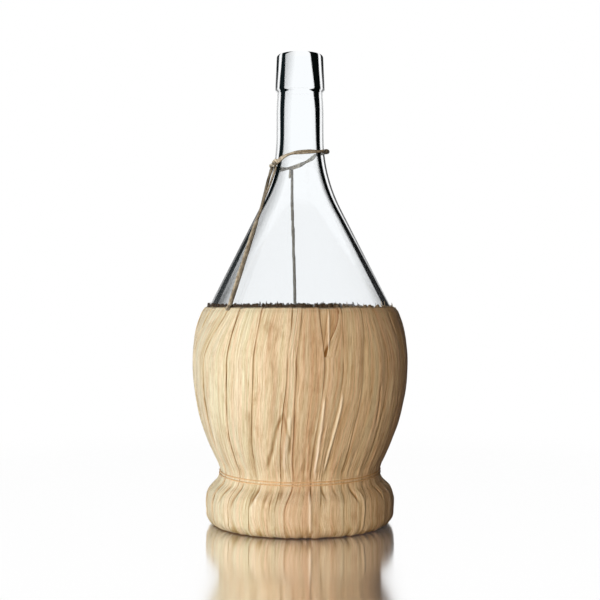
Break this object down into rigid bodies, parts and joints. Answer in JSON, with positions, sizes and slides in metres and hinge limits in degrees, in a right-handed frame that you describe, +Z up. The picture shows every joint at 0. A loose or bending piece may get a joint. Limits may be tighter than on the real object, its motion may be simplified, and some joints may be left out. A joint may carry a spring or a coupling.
{
  "type": "straw-covered wine flask",
  "caption": "Round-bellied clear glass wine flask with a long neck, in a cover of dried-leaf strips over a bolster foot, tied to the neck with straw cord.",
  "frame": {"origin": "centre of the foot's underside, on the surface that the flask stands on", "axes": "+Z up along the flask's axis to the mouth; -Y is the front that the picture shows; +X to its right"},
  "size_m": [0.1274, 0.1273, 0.2772],
  "materials": {
    "clear_glass": "clear, gloss",
    "leaf_strip": "dried leaf, satin",
    "straw_bundle": "dry straw, matt",
    "straw_cord": "twisted straw, matt",
    "brown_thread": "waxed thread, satin"
  },
  "bodies": {
    "root": {"glass_flask": "clear_glass", "foot_ring": "straw_bundle", "rim_hoop": "straw_cord", "waist_binding": "brown_thread", "neck_loop": "straw_cord", "neck_knot": "straw_cord", "front_stay": "straw_cord", "back_stay": "straw_cord", "cover_strip_01": "leaf_strip", "cover_strip_02": "leaf_strip", "cover_strip_03": "leaf_strip", "cover_strip_04": "leaf_strip", "cover_strip_05": "leaf_strip", "cover_strip_06": "leaf_strip", "cover_strip_07": "leaf_strip", "cover_strip_08": "leaf_strip", "cover_strip_09": "leaf_strip", "cover_strip_10": "leaf_strip", "cover_strip_11": "leaf_strip", "cover_strip_12": "leaf_strip", "cover_strip_13": "leaf_strip", "cover_strip_14": "leaf_strip", "cover_strip_15": "leaf_strip", "cover_strip_16": "leaf_strip", "cover_strip_17": "leaf_strip", "cover_strip_18": "leaf_strip", "cover_strip_19": "leaf_strip", "cover_strip_20": "leaf_strip", "cover_strip_21": "leaf_strip", "cover_strip_22": "leaf_strip", "cover_strip_23": "leaf_strip", "cover_strip_24": "leaf_strip", "cover_strip_25": "leaf_strip", "cover_strip_26": "leaf_strip"}
  },
  "joints": []
}
